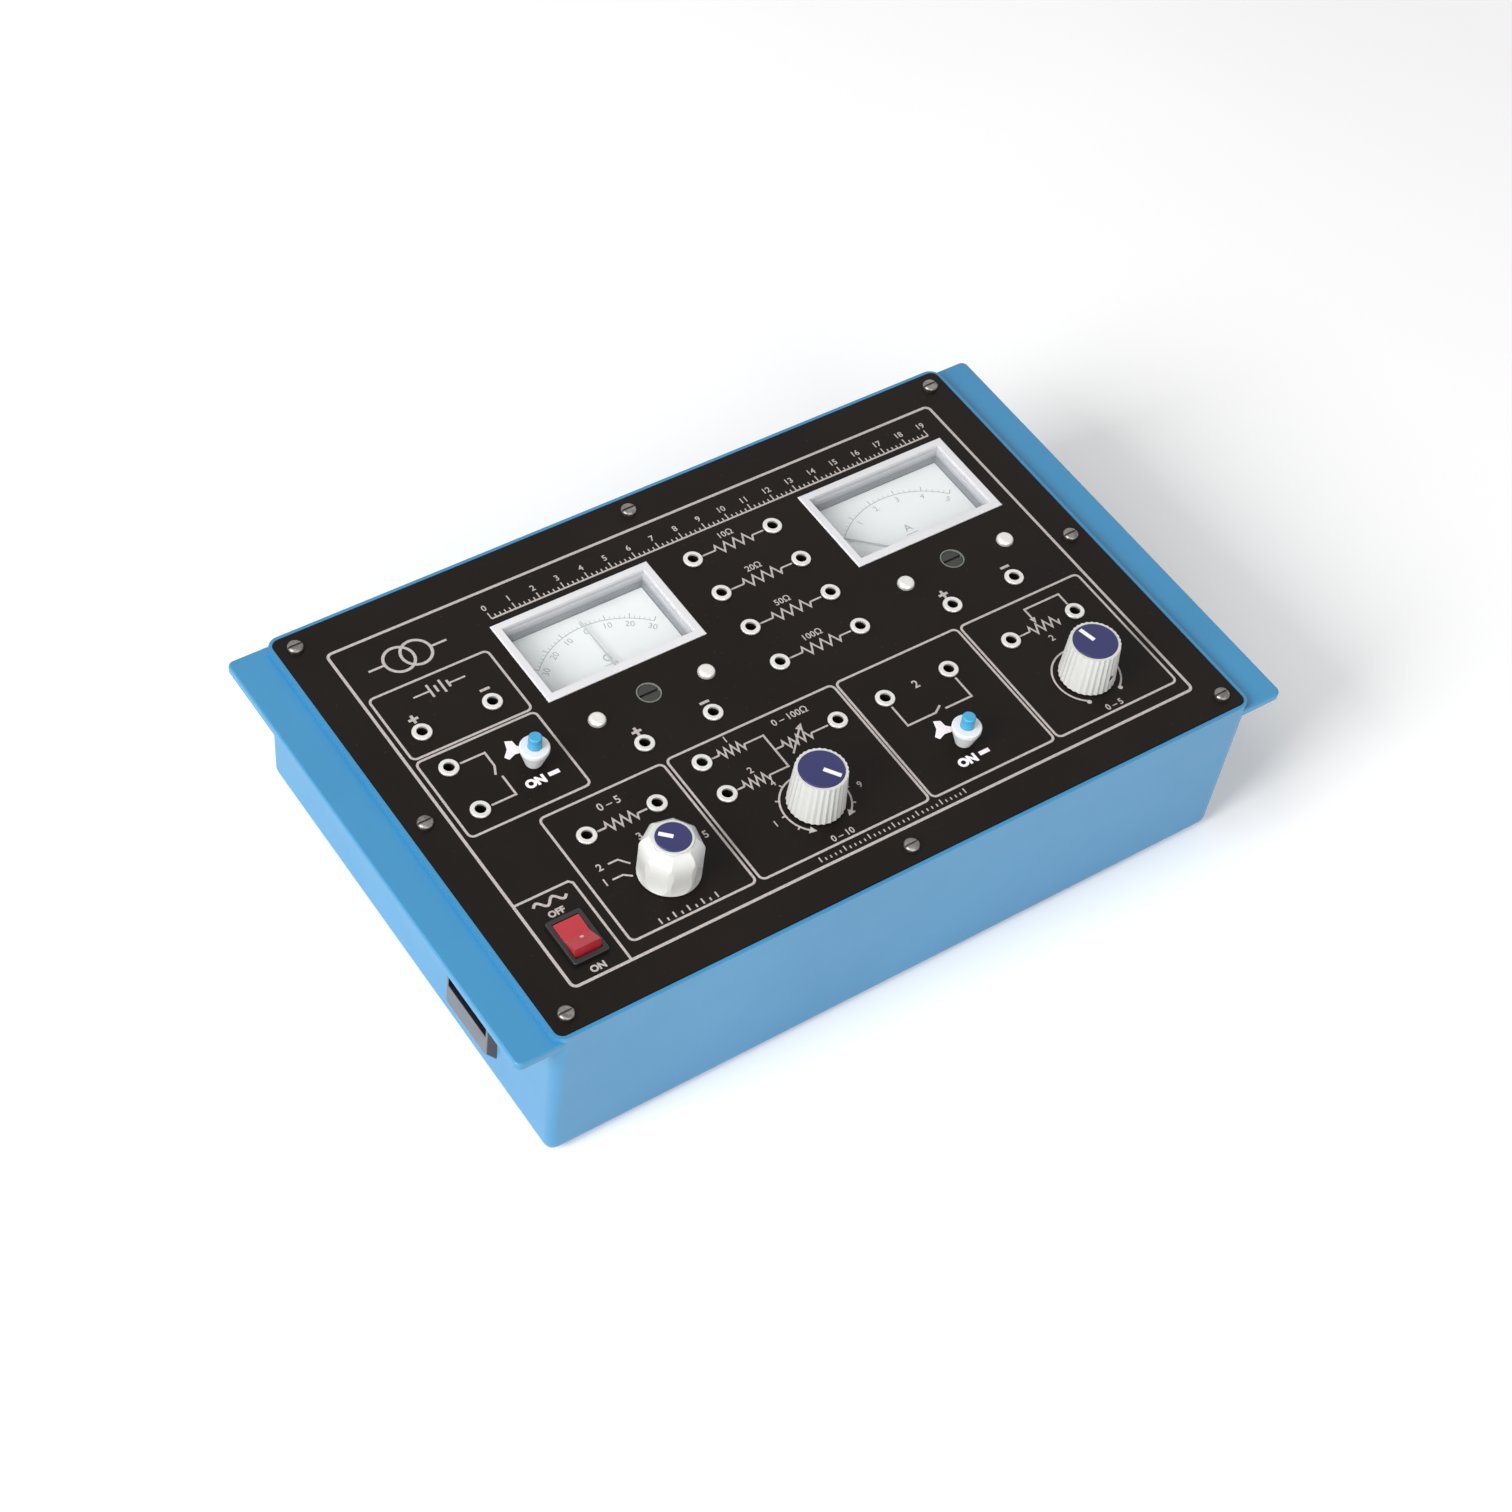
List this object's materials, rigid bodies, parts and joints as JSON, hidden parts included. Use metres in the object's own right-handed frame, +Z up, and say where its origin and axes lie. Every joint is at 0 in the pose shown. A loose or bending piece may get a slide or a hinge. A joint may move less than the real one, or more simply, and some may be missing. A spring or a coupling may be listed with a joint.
{
  "type": "galvanometer conversion apparatus",
  "caption": "Moulded tub with side flanges under a black instrument panel: moving coil meters, banana sockets, control knobs, push keys and a rocker switch.",
  "frame": {"origin": "centre of the underside of the tub, on the surface it stands on", "axes": "+X to the right along the long side, +Y to the back, +Z up"},
  "size_m": [0.317, 0.1922, 0.0887],
  "materials": {
    "tub_plastic": "satin moulded",
    "panel_laminate": "satin printed",
    "screw_steel": "plated",
    "bright_plating": "polished",
    "turned_brass": "turned",
    "tinned_sheet": "tinned",
    "meter_plastic": "gloss moulded",
    "base_plastic": "moulded",
    "dial_paint": "printed white",
    "clear_pane": "clear",
    "magnet_iron": "ground",
    "copper_wire": "enamelled winding",
    "pointer_metal": "painted black",
    "adjuster_plastic": "satin",
    "knob_plastic": "gloss moulded",
    "cap_plastic": "gloss moulded",
    "key_plastic": "gloss moulded",
    "button_plastic": "gloss moulded",
    "black_plastic": "moulded",
    "rocker_plastic": "gloss moulded",
    "case_metal": "pressed",
    "shaft_metal": "turned",
    "track_carbon": "carbon film",
    "core_steel": "laminated",
    "winding_tape": "wound and taped",
    "board_laminate": "etched",
    "capacitor_sleeve": "shrunk sleeve",
    "diode_plastic": "moulded",
    "resistor_ceramic": "coated"
  },
  "bodies": {
    "enclosure": {"enclosure_tub": "tub_plastic", "front_panel": "panel_laminate", "panel_screws": "screw_steel", "banana_sockets": "bright_plating", "socket_nuts": "turned_brass", "socket_tags": "tinned_sheet", "fixed_resistors": "resistor_ceramic", "meter_fixing_screws": "bright_plating", "meter_terminals": "turned_brass", "resistance_tracks": "track_carbon", "control_nuts": "screw_steel", "key_collars": "key_plastic", "key_cases": "black_plastic", "rocker_bezel": "black_plastic", "switch_terminals": "tinned_sheet", "mains_inlet": "black_plastic", "inlet_pins": "turned_brass", "transformer_core": "core_steel", "transformer_winding": "winding_tape", "transformer_frame": "screw_steel", "inner_screws": "screw_steel", "supply_board": "board_laminate", "supply_capacitor": "capacitor_sleeve", "supply_diodes": "diode_plastic", "galvanometer_cover": "meter_plastic", "galvanometer_window": "clear_pane", "galvanometer_base": "base_plastic", "galvanometer_dial": "dial_paint", "galvanometer_magnet": "magnet_iron", "ammeter_cover": "meter_plastic", "ammeter_window": "clear_pane", "ammeter_base": "base_plastic", "ammeter_dial": "dial_paint", "ammeter_magnet": "magnet_iron", "shunt_case": "case_metal", "potentiometer_case": "case_metal", "rheostat_case": "case_metal"},
    "galvanometer_movement": {"galvanometer_coil": "copper_wire", "galvanometer_needle": "pointer_metal"},
    "ammeter_movement": {"ammeter_coil": "copper_wire", "ammeter_needle": "pointer_metal"},
    "galvanometer_adjuster": {"galvanometer_zero_screw": "adjuster_plastic"},
    "ammeter_adjuster": {"ammeter_zero_screw": "adjuster_plastic"},
    "key_1": {"key_1_button": "button_plastic"},
    "key_2": {"key_2_button": "button_plastic"},
    "power_switch": {"power_rocker": "rocker_plastic"},
    "shunt_control": {"shunt_knob": "knob_plastic", "shunt_knob_cap": "cap_plastic", "shunt_grub_screw": "screw_steel", "shunt_shaft": "shaft_metal"},
    "potentiometer_control": {"potentiometer_knob": "knob_plastic", "potentiometer_knob_cap": "cap_plastic", "potentiometer_grub_screw": "screw_steel", "potentiometer_shaft": "shaft_metal"},
    "rheostat_control": {"rheostat_knob": "knob_plastic", "rheostat_knob_cap": "cap_plastic", "rheostat_grub_screw": "screw_steel", "rheostat_shaft": "shaft_metal"}
  },
  "joints": [
    {"name": "galvanometer_needle_turn", "type": "hinge", "parent": "enclosure", "child": "galvanometer_movement", "pos_m": [-0.0402, 0.0205, 0.06], "axis": [0, 0, 1], "range_deg": [-46, 46], "stiffness_Nm_per_rad": 0.00002},
    {"name": "ammeter_needle_turn", "type": "hinge", "parent": "enclosure", "child": "ammeter_movement", "pos_m": [0.0907, 0.0205, 0.06], "axis": [0, 0, -1], "range_deg": [0, 92], "stiffness_Nm_per_rad": 0.00002},
    {"name": "galvanometer_zero_turn", "type": "hinge", "parent": "enclosure", "child": "galvanometer_adjuster", "pos_m": [-0.0402, 0.012, 0.069], "axis": [0, 0, 1], "range_deg": [-30, 30]},
    {"name": "ammeter_zero_turn", "type": "hinge", "parent": "enclosure", "child": "ammeter_adjuster", "pos_m": [0.0907, 0.012, 0.069], "axis": [0, 0, 1], "range_deg": [-30, 30]},
    {"name": "shunt_knob_turn", "type": "hinge", "parent": "enclosure", "child": "shunt_control", "pos_m": [-0.0765, -0.0564, 0.074], "axis": [0, 0, 1], "range_deg": [-120, 30]},
    {"name": "potentiometer_knob_turn", "type": "hinge", "parent": "enclosure", "child": "potentiometer_control", "pos_m": [-0.0173, -0.0564, 0.074], "axis": [0, 0, 1], "range_deg": [0, 290]},
    {"name": "rheostat_knob_turn", "type": "hinge", "parent": "enclosure", "child": "rheostat_control", "pos_m": [0.0996, -0.0564, 0.074], "axis": [0, 0, 1], "range_deg": [-160, 130]},
    {"name": "key_1_press", "type": "slide", "parent": "enclosure", "child": "key_1", "axis": [0, 0, -1], "range_m": [0, 0.002], "stiffness_N_per_m": 500, "springref_m": -0.001},
    {"name": "key_2_press", "type": "slide", "parent": "enclosure", "child": "key_2", "axis": [0, 0, -1], "range_m": [0, 0.002], "stiffness_N_per_m": 500, "springref_m": -0.001},
    {"name": "power_rocker_tilt", "type": "hinge", "parent": "enclosure", "child": "power_switch", "pos_m": [-0.1172, -0.0645, 0.0702], "axis": [1, 0, 0], "range_deg": [0, 22]}
  ]
}
